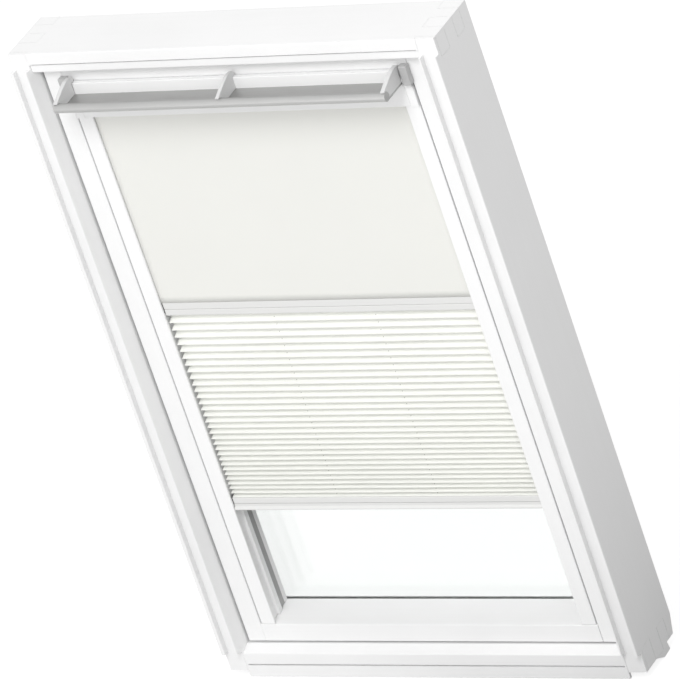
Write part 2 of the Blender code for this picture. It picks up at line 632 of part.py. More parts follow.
def make_hinges(frame_sides, sash_sides):
    """Pivot plates let into the frame and the sash; the frame's carry the pins that the sash turns on."""
    frame_parts = []
    sash_parts = []
    y = (HINGE_DEPTH - HINGE_WIDTH / 2, HINGE_DEPTH + HINGE_WIDTH / 2)
    roomy_y = (y[0] - GAP, y[1] + GAP)
    for name, sign in SIDES:
        # Frame plate, its screw above the pin
        face = sign * (OPENING_X + GAP)
        back = face + sign * HINGE_PLATE
        z = (PIVOT_Z - HINGE_SHORT, PIVOT_Z + HINGE_LONG)
        plate = box("frame_hinge_" + name, (face, back), y, z, STEEL)
        root = back - sign * HINGE_PLATE / 3
        tip = sign * (OPENING_X - PIN_REACH)
        centre = ((root + tip) / 2, HINGE_DEPTH, PIVOT_Z)
        pin = rod("pin_" + name, centre, "x", abs(root - tip), PIN_RADIUS, None)
        collar_end = sign * (SASH_X + GAP)
        collar = rod("collar_" + name, ((root + collar_end) / 2, HINGE_DEPTH, PIVOT_Z), "x",
                     abs(root - collar_end), COLLAR_RADIUS, None)
        cut(plate, collar, pin, operation="UNION")
        cut(frame_sides[name], box(
            "frame_pocket_" + name, (face - sign * POCKET_OVER, back + sign * GAP), roomy_y,
            (z[0] - GAP, z[1] + GAP), None))
        height = PIVOT_Z + SCREW_FROM_PIN
        frame_parts += [plate, screw("frame_hinge_screw_" + name, sign, face, height)]
        holes = screw_hole("frame_screw_" + name, sign, face, height)
        cut(plate, *holes)
        cut(frame_sides[name], holes[0])

        # Sash plate, its screw below the pin
        face = sign * (SASH_X - GAP)
        back = face - sign * HINGE_PLATE
        z = (PIVOT_Z - HINGE_LONG, PIVOT_Z + HINGE_SHORT)
        plate = box("sash_hinge_" + name, (face, back), y, z, STEEL)
        centre = (face, HINGE_DEPTH, PIVOT_Z)
        cut(plate, rod("pin_bore_" + name, centre, "x", 4 * HINGE_PLATE, PIN_RADIUS + GAP, None))
        well_end = tip - sign * PIN_REACH / 2
        cut(sash_sides[name], box(
            "sash_pocket_" + name, (face + sign * POCKET_OVER, back - sign * GAP), roomy_y,
            (z[0] - GAP, z[1] + GAP), None))
        cut(sash_sides[name], rod(
            "pin_well_" + name, ((face + well_end) / 2, HINGE_DEPTH, PIVOT_Z), "x", abs(face - well_end),
            PIN_RADIUS + OVER, None))
        height = PIVOT_Z - SCREW_FROM_PIN
        sash_parts += [plate, screw("sash_hinge_screw_" + name, -sign, face, height)]
        holes = screw_hole("sash_screw_" + name, -sign, face, height)
        cut(plate, *holes)
        cut(sash_sides[name], holes[0])
    return frame_parts, sash_parts


def make_lock(frame_head, sash_head):
    """A latch in the sash head whose tongue stands in an open-fronted strike in the frame head."""
    half = LOCK_WIDTH / 2
    middle_y = HINGE_DEPTH
    y = (middle_y - LOCK_DEPTH / 2, middle_y + LOCK_DEPTH / 2)
    top = SASH_HIGH - LOCK_RECESS
    case = box("lock_case", (-half, half), y, (top - LOCK_HEIGHT, top), STEEL)
    cut(sash_head, box(
        "lock_pocket", (-half - GAP, half + GAP), (y[0] - GAP, y[1] + GAP),
        (top - LOCK_HEIGHT - GAP, SASH_HIGH + OVER), None))
    wide = TONGUE_WIDTH / 2
    thick = TONGUE_THICK / 2
    tongue_low = top - LOCK_HEIGHT + LOCK_WALL + TONGUE_TRAVEL + LOCK_RECESS
    tongue = box(
        "lock_tongue", (-wide, wide), (middle_y - thick, middle_y + thick),
        (tongue_low, SASH_HIGH + TONGUE_REACH), STEEL, TONGUE_ROUND)
    cut(case, box(
        "tongue_slot", (-wide - GAP, wide + GAP), (middle_y - thick - GAP, middle_y + thick + GAP),
        (top - LOCK_HEIGHT + LOCK_WALL, SASH_HIGH), None))
    strike_half = STRIKE_WIDTH / 2
    roof = SASH_HIGH + TONGUE_REACH + STRIKE_ROOM
    stop = middle_y + thick + STRIKE_ROOM
    lining = FRAME_HEIGHT - BOARD
    strike = extrusion("strike_plate", [
        (SLANT_DEPTH, roof), (SLANT_DEPTH, roof + STRIKE_THICK), (stop + STRIKE_THICK, roof + STRIKE_THICK),
        (stop + STRIKE_THICK, lining + GAP), (stop, lining + GAP), (stop, roof)],
        "x", -strike_half, strike_half, STEEL)
    pocket = (-strike_half - GAP, strike_half + GAP)
    cut(frame_head, box(
        "strike_pocket", pocket, (SLANT_DEPTH - OVER, stop + STRIKE_THICK + GAP),
        (lining - OVER, roof + STRIKE_THICK + GAP), None))

    # The head's edge is eased in front of the strike, so that the tongue swings clear of it
    relief = [
        (REBATE - OVER, lining - OVER), (REBATE - OVER, FRAME_HEIGHT - HEAD_FACE),
        (SLANT_DEPTH, SASH_HIGH + TONGUE_REACH), (SLANT_DEPTH, lining - OVER)]
    cut(frame_head, extrusion("strike_relief", relief, "x", *pocket, None))
    return strike, case, tongue


def make_ventilation(sash_head, cover):
    """A filter channel each side of the lock, with slots to the room and to the outside."""
    filters = []
    front = SASH_FRONT + FILTER_COVER
    back = front + FILTER_DEPTH + 2 * GAP
    high = SASH_HIGH - FILTER_ROOF
    low = high - FILTER_HEIGHT - 2 * GAP
    inlet = (low, low + VENT_SLOT_HEIGHT)
    outlet = (high - VENT_OUTLET_HEIGHT, high)
    near = LOCK_WIDTH / 2 + VENT_START
    far = SASH_X - FILTER_END
    pitch = (far - near) / VENT_SLOTS
    half = (pitch - VENT_BRIDGE) / 2
    for name, sign in SIDES:
        x = (sign * (near - GAP), sign * (far + GAP))
        cut(sash_head, box("filter_channel_" + name, x, (front, back), (low, high), None))
        x = (sign * near, sign * far)
        inside = ((front + GAP, back - GAP), (low + GAP, high - GAP))
        filters.append(box("air_filter_" + name, x, *inside, FOAM))
        for index in range(VENT_SLOTS):
            middle = sign * (near + pitch * (index + 0.5))
            x = (middle - half, middle + half)
            label = f"{name}_{index}"
            cut(sash_head, box("inlet_" + label, x, (SASH_FRONT - OVER, front + OVER), inlet, None))
            slot = box("outlet_" + label, x, (back - OVER, SASH_BACK + 2 * COVER_SHEET), outlet, None)
            cut(sash_head, slot)
            cut(cover, slot)
    return filters


def make_control_bar():
    """The flap, the bar on its three arms, and the two brackets that the flap turns in."""
    low = FLAP_HIGH - FLAP_HEIGHT
    ranges = ((-FLAP_X, FLAP_X), (FLAP_FRONT, FLAP_BACK), (low, FLAP_HIGH))
    flap = box("vent_flap", *ranges, WHITE_PAINT, BAR_ROUND)
    half = FLAP_X - FLAP_SEAL_INSET
    seal = ring(
        "flap_seal", half, half - FLAP_SEAL_WIDTH, (FLAP_BACK + GAP, SASH_FRONT - GAP), low + FLAP_SEAL_INSET,
        FLAP_HIGH - FLAP_SEAL_INSET, FLAP_SEAL_WIDTH, BLACK_RUBBER)

    web_low = WEB_TOP - BAR_WEB
    start = math.degrees(math.asin((WEB_TOP - NOSE_Z) / BAR_NOSE_RADIUS))
    finish = math.degrees(math.asin((web_low - NOSE_Z) / BAR_NOSE_RADIUS))
    nose = arc((NOSE_Y, NOSE_Z), BAR_NOSE_RADIUS, start, 360 + finish, 18)
    web_end = FLAP_FRONT - GAP
    section = nose + [(web_end, web_low), (web_end, WEB_TOP)]
    bar = extrusion("control_bar", section, "x", -ARM_X, ARM_X, ALUMINIUM)
    bar.data.shade_smooth()
    bar.data.set_sharp_from_angle(angle=math.radians(30))

    # Each arm stands on the web, hooks over the nose and rises over the flap to its hinge axis
    seat = arc((NOSE_Y, NOSE_Z), BAR_NOSE_RADIUS + GAP, 110, start + 4, 8)
    tip = (NOSE_Y + ARM_TIP[0] * MM, NOSE_Z + ARM_TIP[1] * MM)
    brow = [(AXIS_Y + y * MM, AXIS_Z + z * MM) for y, z in ARM_BROW]
    heel = FLAP_BACK - OVER
    rise = FLAP_HIGH + GAP
    profile = [
        *seat, (web_end, WEB_TOP + GAP), (web_end, rise), (heel, rise), (heel, AXIS_Z + OVER), *brow, tip]
    arms = []
    inner = FLAP_X + GAP
    for name, first, last in (
            ("left", -inner - END_ARM, -inner), ("middle", -MIDDLE_ARM / 2, MIDDLE_ARM / 2),
            ("right", inner, inner + END_ARM)):
        arms.append(extrusion("bar_arm_" + name, profile, "x", first, last, GREY_PLASTIC))

    pins = []
    brackets = []
    start = inner + PIN_START
    end = BRACKET_X + PIN_IN_BRACKET
    for name, sign in SIDES:
        centre = (sign * (start + end) / 2, AXIS_Y, AXIS_Z)
        pins.append(rod("flap_pin_" + name, centre, "x", end - start, FLAP_PIN_RADIUS, STEEL, 16))
        hole = rod("flap_bore_" + name, centre, "x", end - start + 2 * GAP, FLAP_PIN_RADIUS + GAP, None, 16)
        cut(arms[0 if sign < 0 else 2], hole)
        block = box(
            "bar_bracket_" + name, (sign * BRACKET_X, sign * (BRACKET_X + BRACKET_WIDTH)),
            (SASH_FRONT - GAP - BRACKET_DEPTH, SASH_FRONT - GAP),
            (CASING_TOP + BRACKET_LIFT, AXIS_Z + BRACKET_RISE), GREY_PLASTIC, BRACKET_ROUND)
        cut(block, hole)
        brackets.append(block)
    return [flap, seal, bar, *arms, *pins], brackets


def make_weather_seal():
    """A rubber ring on the sash's edge, behind the pivots and the lock."""
    inner = SASH_X + GAP
    low = SASH_LOW - GAP - SEAL_THICK
    high = SASH_HIGH + GAP + SEAL_THICK
    return ring("weather_seal", inner + SEAL_THICK, inner, SEAL_DEPTH, low, high, SEAL_THICK, BLACK_RUBBER)


def make_rails():
    """Side rails of the blind and the light seals behind them, cut to the slope of the sash's sill."""
    rails = []
    seals = []
    slope = SILL_RISE / GLASS_SEAT
    top = CASING_LOW - GAP
    bottom = SASH_SILL_TOP
    rail_back = SASH_FRONT + RAIL_DEPTH
    foot_front = SASH_FRONT - OVER
    foot_back = BEAD_Y + OVER
    foot = [(foot_front, bottom - OVER), (foot_back, bottom - OVER)]
    for y in (foot_back, foot_front):
        foot.append((y, SASH_SILL_TOP + RAIL_FOOT_GAP + (y - SASH_FRONT) * slope))
    for name, sign in SIDES:
        outline = [(sign * x, y) for x, y in (
            (RAIL_OUTER_X, SASH_FRONT), (RAIL_INNER_X, SASH_FRONT), (RAIL_INNER_X, GROOVE_Y),
            (GROOVE_X, GROOVE_Y), (GROOVE_X, GROOVE_Y + RAIL_GROOVE), (RAIL_INNER_X, GROOVE_Y + RAIL_GROOVE),
            (RAIL_INNER_X, rail_back), (RAIL_OUTER_X, rail_back))]
        outline[:2] = [(x, y, CORNER_ROUND) for x, y in outline[:2]]
        chamber = [(sign * x, y) for x, y in (
            (GROOVE_X + RAIL_WALL, GROOVE_Y), (RAIL_OUTER_X - RAIL_WALL, GROOVE_Y),
            (RAIL_OUTER_X - RAIL_WALL, rail_back - RAIL_WALL), (GROOVE_X + RAIL_WALL, rail_back - RAIL_WALL))]
        rail = extrusion("rail_" + name, [rounded(outline), chamber], "z", bottom, top, WHITE_PAINT)
        seal = box(
            "light_seal_" + name, (sign * (SHOULDER_X - GAP), sign * (BEAD_X + GAP)),
            (SHOULDER_Y + GAP, BEAD_Y - GAP), (bottom, top), BLACK_RUBBER)
        slant = extrusion("rail_foot_" + name, foot, "x", sign * (RAIL_INNER_X - OVER), sign * SASH_X, None)
        cut(rail, slant)
        cut(seal, slant)
        rails.append(rail)
        seals.append(seal)
    return [*rails, *seals]


def make_casing():
    """The blind's head casing, open below for the cloth, and its two end caps."""
    wall = CASING_WALL
    front, back, low, high = CASING_FRONT, CASING_BACK, CASING_LOW, CASING_TOP
    outside = [
        (front + CASING_LIP, low), (front, low, CASING_EDGE), (front, high, CASING_ROUND),
        (back, high, CASING_EDGE), (back, low)]
    inside = [
        (back - wall, low), (back - wall, high - wall), (front + wall, high - wall, CASING_ROUND - wall),
        (front + wall, low + wall), (front + CASING_LIP, low + wall)]
    section = rounded(outside + inside)
    casing = extrusion("head_casing", section, "x", -CASING_X, CASING_X, WHITE_PAINT)
    caps = []
    for name, sign in SIDES:
        inner = sign * (CASING_X + GAP)
        outer = sign * RAIL_OUTER_X
        outline = rounded([(inner, low), (outer, low), (outer, high, CAP_ROUND), (inner, high)], 5)
        cap = extrusion("end_cap_" + name, outline, "y", front, back, WHITE_PAINT)
        centre = (inner, ROLLER_Y, ROLLER_Z)
        bore = rod("cap_bore_" + name, centre, "x", 2 * CAP_BORE, ROLLER_PIN + GAP, None, 16)
        cut(cap, bore)
        caps.append(cap)
    return [casing, *caps]


def make_roller():
    """Tube, wound cloth, end plugs and return spring, all about the roller's axis."""
    centre = (0, ROLLER_Y, ROLLER_Z)
    bore = TUBE_RADIUS - TUBE_WALL
    tube = rod("roller_tube", centre, "x", 2 * ROLL_X, TUBE_RADIUS, ALUMINIUM, 24)
    cut(tube, rod("tube_bore", centre, "x", 2 * (ROLL_X + OVER), bore, None, 24))
    roll = rod("wound_cloth", centre, "x", 2 * CLOTH_X, ROLL_RADIUS, BLACKOUT, 28)
    cut(roll, rod("roll_bore", centre, "x", 2 * (CLOTH_X + OVER), TUBE_RADIUS + GAP, None, 24))
    plugs = []
    stub_start = ROLL_X - PLUG_LENGTH / 2
    stub_end = CASING_X + GAP + CAP_BORE - OVER
    for name, sign in SIDES:
        centre = (sign * (ROLL_X - PLUG_LENGTH / 2), ROLLER_Y, ROLLER_Z)
        plug = rod("roller_plug_" + name, centre, "x", PLUG_LENGTH, bore - GAP, NYLON, 16)
        centre = (sign * (stub_start + stub_end) / 2, ROLLER_Y, ROLLER_Z)
        stub = rod("plug_stub_" + name, centre, "x", stub_end - stub_start, ROLLER_PIN, None, 16)
        cut(plug, stub, operation="UNION")
        plugs.append(plug)
    return [tube, roll, *plugs, make_roller_spring(bore)]


def make_roller_spring(bore):
    """A coil that lies against the tube's bore, from the left plug inward."""
    curve = bpy.data.curves.new("roller_spring", "CURVE")
    curve.dimensions = "3D"
    curve.bevel_depth = SPRING_WIRE
    curve.bevel_resolution = 0
    curve.use_fill_caps = True
    spline = curve.splines.new("POLY")
    steps = SPRING_TURNS * SPRING_STEPS
    spline.points.add(steps)
    start = -(ROLL_X - PLUG_LENGTH - GAP - SPRING_WIRE)
    radius = bore - GAP - SPRING_WIRE
    for index, point in enumerate(spline.points):
        angle = 2 * math.pi * index / SPRING_STEPS
        along = start + SPRING_LENGTH * index / steps
        point.co = (along, ROLLER_Y + radius * math.cos(angle), ROLLER_Z + radius * math.sin(angle), 1)
    return place("roller_spring", mesh_from_curve("roller_spring", curve), STEEL, Matrix.Identity(4))


def make_guides(name, low, high):
    """Two dark shoes at a bar's ends, which run in the grooves of the rails."""
    shoes = []
    y = (BAR_Y + GUIDE_INSET, BAR_Y + BAR_DEPTH - GUIDE_INSET)
    for label, sign in SIDES:
        shoes.append(box(
            f"{name}_{label}", (sign * (BAR_X + GAP), sign * (RAIL_INNER_X + GUIDE_REACH)), y, (low, high),
            BLACK_RUBBER))
    return shoes


def make_blind():
    """Both cloths with their bars, at the heights that the blind is set to."""
    back = BAR_Y + BAR_DEPTH
    middle_high = MIDDLE_LINE + GAP + MIDDLE_BAR_HEIGHT
    middle_low = MIDDLE_LINE - PLEAT_RAIL_HEIGHT
    x = (-BAR_X, BAR_X)
    y = (BAR_Y, back)
    bar = box("middle_bar", x, y, (MIDDLE_LINE + GAP, middle_high), WHITE_PAINT, BAR_ROUND)
    top_rail = box("pleat_top_rail", x, y, (middle_low, MIDDLE_LINE), WHITE_PAINT, BAR_ROUND)
    guide_top = middle_high - GUIDE_INSET
    middle = [bar, top_rail, *make_guides("middle_bar_guide", guide_top - GUIDE_LENGTH, guide_top)]

    low_rail_top = BOTTOM_LINE + PLEAT_RAIL_HEIGHT
    low_rail = box("pleat_bottom_rail", x, y, (BOTTOM_LINE + GAP, low_rail_top), WHITE_PAINT, BAR_ROUND)
    foot = BOTTOM_LINE - BOTTOM_BAR_HEIGHT
    grip = BAR_Y - GRIP
    handle = extrusion("bottom_bar", rounded([
        (BAR_Y, BOTTOM_LINE), (BAR_Y, foot + 2.5 * GRIP), (grip, foot + GRIP, BAR_ROUND),
        (grip, foot, BAR_ROUND), (back, foot, BAR_ROUND), (back, BOTTOM_LINE)]), "x", *x, WHITE_PAINT)
    guide_low = foot + GUIDE_INSET
    bottom = [low_rail, handle, *make_guides("bottom_bar_guide", guide_low, guide_low + GUIDE_LENGTH)]

    ranges = ((-CLOTH_X, CLOTH_X), (CLOTH_Y, CLOTH_Y + CLOTH), (middle_high + GAP, ROLLER_Z))
    cloth = box("blackout_cloth", *ranges, BLACKOUT)

    # Pleats between the two rails: the upper ones hang wider open than the lower ones
    top = middle_low - GAP
    drop = top - low_rail_top - GAP
    first = 2 * PLEAT_SPREAD / (1 + PLEAT_SPREAD)
    folds = 2 * PLEATS
    front = []
    for index in range(folds + 1):
        part = index / folds
        height = top - drop * (first * part + (1 - first) * part ** 2)
        spacing = drop / folds * (first + 2 * (1 - first) * part)
        depth = math.sqrt(PLEAT_FACE ** 2 - spacing ** 2) if index % 2 else 0
        front.append((BAR_Y + GAP + depth, height))
    rear = [(y + PLEAT_CLOTH, z) for y, z in reversed(front)]
    edge = BAR_X - GAP
    pleats = extrusion("pleated_cloth", front + rear, "x", -edge, edge, PLEAT_FABRIC)
    return [cloth], [*middle, pleats], bottom


def main():
    frame_head, _, frame_sides = make_frame()
    sash_head, sash_sill, sash_sides = make_sash()
    glazing, cover = make_glazing()
    _, sash_hinges = make_hinges(frame_sides, sash_sides)
    _, lock_case, tongue = make_lock(frame_head, sash_head)
    filters = make_ventilation(sash_head, cover)
    bar_parts, brackets = make_control_bar()
    seal = make_weather_seal()
    rails = make_rails()
    casing = make_casing()
    roller = make_roller()
    cloth, middle, bottom = make_blind()

    pivot = axis_empty("sash_pivot_axis", (0, HINGE_DEPTH, PIVOT_Z))
    bar_axis = axis_empty("control_bar_axis", (0, AXIS_Y, AXIS_Z))
    roller_axis = axis_empty("roller_axis", (0, ROLLER_Y, ROLLER_Z))
    middle_axis = axis_empty("middle_bar_slide", (0, BAR_Y, MIDDLE_LINE))
    bottom_axis = axis_empty("bottom_bar_slide", (0, BAR_Y, BOTTOM_LINE))
    carry(bar_axis, *bar_parts)
    carry(roller_axis, *roller)
    carry(middle_axis, *middle)
    carry(bottom_axis, *bottom)
    carry(pivot, sash_head, sash_sill, *sash_sides.values(), *glazing, *sash_hinges, lock_case, tongue,
          *filters, *brackets, seal, *rails, *casing, *cloth)


clear_scene()
PARTS = new_collection(OBJECT_NAME)
CUTTERS = new_collection("cutters")
main()
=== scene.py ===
"""Looks of the centre-pivot roof window with its two-cloth blind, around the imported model.

Everything is in metres in the model's own frame: X across the window, +Y to the outside, +Z up.
"""
import json
import math

import bmesh
import bpy
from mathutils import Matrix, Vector, noise
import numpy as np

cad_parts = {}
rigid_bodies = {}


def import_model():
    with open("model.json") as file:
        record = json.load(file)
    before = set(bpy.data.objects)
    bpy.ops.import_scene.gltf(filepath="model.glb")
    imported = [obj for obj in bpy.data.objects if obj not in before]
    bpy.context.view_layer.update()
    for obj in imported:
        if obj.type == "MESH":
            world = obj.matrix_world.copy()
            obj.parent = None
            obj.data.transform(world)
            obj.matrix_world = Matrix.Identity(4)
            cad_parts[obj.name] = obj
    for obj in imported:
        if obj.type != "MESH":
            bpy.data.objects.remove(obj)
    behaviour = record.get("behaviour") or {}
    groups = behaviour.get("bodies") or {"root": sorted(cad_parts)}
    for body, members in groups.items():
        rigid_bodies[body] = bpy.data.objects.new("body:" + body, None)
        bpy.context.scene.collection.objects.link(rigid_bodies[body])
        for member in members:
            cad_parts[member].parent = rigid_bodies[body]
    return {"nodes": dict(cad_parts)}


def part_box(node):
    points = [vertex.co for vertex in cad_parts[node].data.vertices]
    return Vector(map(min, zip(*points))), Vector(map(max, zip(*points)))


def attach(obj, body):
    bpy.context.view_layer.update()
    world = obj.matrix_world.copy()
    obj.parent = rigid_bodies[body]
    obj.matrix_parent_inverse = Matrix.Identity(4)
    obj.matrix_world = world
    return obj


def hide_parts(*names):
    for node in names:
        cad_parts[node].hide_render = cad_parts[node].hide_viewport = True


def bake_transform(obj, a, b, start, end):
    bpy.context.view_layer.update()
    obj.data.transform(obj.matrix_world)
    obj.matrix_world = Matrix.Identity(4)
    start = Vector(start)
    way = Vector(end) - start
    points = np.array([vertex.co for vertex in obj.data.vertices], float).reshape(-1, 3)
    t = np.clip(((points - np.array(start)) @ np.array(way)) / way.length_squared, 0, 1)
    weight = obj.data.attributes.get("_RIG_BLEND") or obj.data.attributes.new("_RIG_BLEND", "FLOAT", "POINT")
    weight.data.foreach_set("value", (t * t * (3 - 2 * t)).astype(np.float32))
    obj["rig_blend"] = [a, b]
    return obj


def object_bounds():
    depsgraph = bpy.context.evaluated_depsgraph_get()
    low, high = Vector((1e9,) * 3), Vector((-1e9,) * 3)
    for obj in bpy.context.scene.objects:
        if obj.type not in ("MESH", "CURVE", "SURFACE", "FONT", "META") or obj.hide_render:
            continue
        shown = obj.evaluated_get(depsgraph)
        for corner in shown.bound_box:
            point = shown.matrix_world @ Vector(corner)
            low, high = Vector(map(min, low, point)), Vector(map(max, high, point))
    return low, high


MM = 0.001

# Camera that matches the photograph's view
CAMERA_PLACE = (6.9428, -9.56527, 6.71201)
CAMERA_TURN = (61.3995, 17.0802, 26.6976)
CAMERA_LENS = 445.922
CAMERA_REACH = 100           # nothing further away is drawn

# Light and surroundings
WORLD_LIGHT = 0.76
FLOOR_SIZE = 60.0
FLOOR_GLOW = 0.86            # share of white that the camera sees without any lamp
FLOOR_SHADE = 0.22           # share that the lamps add to it, except in shadow
FLOOR_BOUNCE = 0.64          # share of the light that the floor gives back to the window
DIM_PLACE = (0.62, 0.25, 0.0)   # beside the window's right side, where the floor gives back less
DIM_BOUNCE = 0.0             # what it gives back there
DIM_RANGE = (0.15, 0.9)      # metres from there over which the bounce grows to its full value
LAMP_TARGET = (0, 0, 0.6)
FRONT_LAMP = {"place": (-0.8, -5.1, 1.6), "width": 3.4, "power": 50}
KEY_LAMP = {"place": (1.2, -3.4, 4.9), "width": 2.2, "power": 130}

# Pleats, as in the model
PLEATS = 31
PLEAT_FACE = 15.5 * MM
PLEAT_SPREAD = 1.73          # pitch of the top pleat against that of the bottom one
PLEAT_CLOTH = 0.3 * MM
PLEAT_COLUMNS = 48
FOLD_ROUND = 0.06            # share of a face taken by the rounding of its folds
FACE_SHARES = (FOLD_ROUND, 0.3, 0.5, 0.7, 1 - FOLD_ROUND)   # where a face has its points
FACE_BOW = 0.25 * MM         # how far a face curves out between its folds
FOLD_DRIFT = 0.22 * MM       # how far a fold wanders from a straight line
CORD_HOLES = (-92 * MM, 96 * MM)
CORD_HOLE_RADIUS = 0.9 * MM
CORD_HOLE_EDGE = 0.8         # share of the radius where a hole's soft edge starts

# Blackout cloth
SHEET_CLOTH = 0.3 * MM
SHEET_BOW = 0.6 * MM         # how far the middle of the cloth stands out
SHEET_GRID = (40, 30)        # columns and rows
ROLL_PITCH = 0.5 * MM        # from one turn to the next
ROLL_START = 0.3 * MM        # gap under the first turn
ROLL_STEPS = 40              # points a turn

# Filters
FLEECE_CUTS = 11             # loops along each edge of the block
FLEECE_RIBS = 12
FLEECE_FACE = (0.93, 0.05)   # thickness as a share of the solid's: between the ribs, and what a rib adds
FLEECE_HEIGHT = 0.985
FLEECE_LENGTH = 0.998
FLEECE_DRAW = (0.05, 0.04)   # how far the edges are drawn in, in thickness and in height
FLEECE_CORNER = 8            # the power that keeps the draw near the edges
FLEECE_ROUGH = 0.01

# Colours as seen in soft white light
LACQUER = (0.865, 0.865, 0.865)
SASH_LACQUER = (0.88, 0.88, 0.88)
POWDER_COAT = (0.88, 0.88, 0.88)
BAR_COAT = (0.72, 0.72, 0.71)
SILVER = (0.50, 0.50, 0.495)
BRACKET_GREY = (0.46, 0.46, 0.46)
ARM_GREY = (0.66, 0.66, 0.66)
BLACKOUT = (0.80, 0.80, 0.765)
PLEAT = (0.93, 0.935, 0.90)
# painted shade of the guide cords' holes in the pleats
HOLE_SHADE = (0.45, 0.45, 0.42)
RUBBER = (0.035, 0.035, 0.035)
SEAL_GREY = (0.40, 0.40, 0.40)
PALE_SEAL = (0.74, 0.74, 0.74)
STEEL = (0.60, 0.60, 0.585)
COVER_METAL = (0.52, 0.52, 0.52)
NYLON = (0.78, 0.76, 0.70)
FLEECE = (0.22, 0.22, 0.22)
GLASS = (0.985, 0.995, 0.99)
GLASS_SHADOW = (0.96, 0.975, 0.97)

# Detail of the surfaces, in periods a metre
WOOD_GRAIN = 170.0
WOOD_GRAIN_ALONG = 3.0
LACQUER_PEEL = 900.0
POWDER_PEEL = 1100.0
METAL_LINES = 2600.0
METAL_LINES_ALONG = 14.0
PLASTIC_PITS = 650.0
RUBBER_PITS = 480.0
SLUBS = (60.0, 60.0, 1400.0)
HAZE = (5.0, 5.0, 7.0)
SMEARS = (30.0, 30.0, 12.0)

# Threads and surface relief
PLEAT_THREAD = 0.55 * MM
BLACKOUT_THREAD = 0.6 * MM
FLEECE_THREAD = 1.5 * MM
PLASTIC_RELIEF = 0.07 * MM
RUBBER_RELIEF = 0.1 * MM
WAVE_SCALE = 0.3183          # makes the wave texture repeat about once a unit


# Materials

def new_material(name, colour, roughness, **inputs):
    """A Principled material; returns it with its tree and its shader."""
    surface = bpy.data.materials.new(name)
    surface.use_nodes = True
    tree = surface.node_tree
    shader = tree.nodes["Principled BSDF"]
    shader.inputs["Base Color"].default_value = (*colour, 1)
    shader.inputs["Roughness"].default_value = roughness
    for key, value in inputs.items():
        shader.inputs[key.replace("_", " ")].default_value = value
    return surface, tree, shader


def add(tree, kind, inputs=None, **settings):
    """A new node with the values of its inputs and its settings."""
    node = tree.nodes.new(kind)
    for key, value in settings.items():
        setattr(node, key, value)
    for key, value in (inputs or {}).items():
        node.inputs[key].default_value = value
    return node


def stretched(tree, scale):
    """Coordinates in metres of the object, scaled on each axis."""
    place = add(tree, "ShaderNodeTexCoord")
    mapping = add(tree, "ShaderNodeMapping", {"Scale": scale})
    tree.links.new(place.outputs["Object"], mapping.inputs["Vector"])
    return mapping.outputs["Vector"]


def clouds(tree, scale, detail=3.0, roughness=0.5):
    """Noise between 0 and 1; scale holds its periods per metre on each axis."""
    texture = add(tree, "ShaderNodeTexNoise", {"Scale": 1.0, "Detail": detail, "Roughness": roughness})
    tree.links.new(stretched(tree, scale), texture.inputs["Vector"])
    return texture.outputs["Fac"]


def ranged(tree, value, low, high, start=0.3, end=0.7):
    """Maps a value from one range to another."""
    limits = {"From Min": start, "From Max": end, "To Min": low, "To Max": high}
    node = add(tree, "ShaderNodeMapRange", limits)
    tree.links.new(value, node.inputs["Value"])
    return node.outputs["Result"]


def tinted(tree, value, dark, light):
    """A colour between two, by a value."""
    node = add(tree, "ShaderNodeMix", data_type="RGBA")
    node.inputs["A"].default_value = (*dark, 1)
    node.inputs["B"].default_value = (*light, 1)
    tree.links.new(value, node.inputs["Factor"])
    return node.outputs["Result"]


def times(colour, factor):
    """A colour made darker or lighter."""
    return tuple(channel * factor for channel in colour)


def bumped(tree, shader, *layers):
    """Adds height layers (value, distance in metres, strength) to the surface's normal."""
    normal = None
    for value, distance, strength in layers:
        bump = add(tree, "ShaderNodeBump", {"Distance": distance, "Strength": strength})
        tree.links.new(value, bump.inputs["Height"])
        if normal:
            tree.links.new(normal, bump.inputs["Normal"])
        normal = bump.outputs["Normal"]
    tree.links.new(normal, shader.inputs["Normal"])


def lacquer(name, colour, along):
    """Sprayed white lacquer over wood whose grain runs along an axis."""
    surface, tree, shader = new_material(name, colour, 0.36, Coat_Weight=0.15, Coat_Roughness=0.25)
    grain_scale = [WOOD_GRAIN] * 3
    grain_scale[along] = WOOD_GRAIN_ALONG
    grain = clouds(tree, grain_scale, 4.0, 0.6)
    patches = clouds(tree, (7.0, 7.0, 7.0), 2.0)
    peel = clouds(tree, (LACQUER_PEEL,) * 3, 1.0)
    shade = add(tree, "ShaderNodeMath", operation="MULTIPLY_ADD")
    tree.links.new(grain, shade.inputs[0])
    shade.inputs[1].default_value = 0.5
    tree.links.new(ranged(tree, patches, 0.0, 0.5), shade.inputs[2])
    colours = tinted(tree, shade.outputs["Value"], times(colour, 0.94), colour)
    tree.links.new(colours, shader.inputs["Base Color"])
    tree.links.new(ranged(tree, patches, 0.30, 0.42), shader.inputs["Roughness"])
    bumped(tree, shader, (grain, 0.12 * MM, 0.35), (peel, 0.05 * MM, 0.3))
    return surface


def powder(name, colour, roughness=0.42):
    """Powder-coated metal with its fine orange peel."""
    surface, tree, shader = new_material(name, colour, roughness)
    peel = clouds(tree, (POWDER_PEEL,) * 3, 2.0)
    patches = clouds(tree, (11.0, 11.0, 11.0), 2.0)
    tree.links.new(tinted(tree, patches, times(colour, 0.975), colour), shader.inputs["Base Color"])
    tree.links.new(ranged(tree, peel, roughness - 0.06, roughness + 0.05), shader.inputs["Roughness"])
    bumped(tree, shader, (peel, 0.08 * MM, 0.35))
    return surface


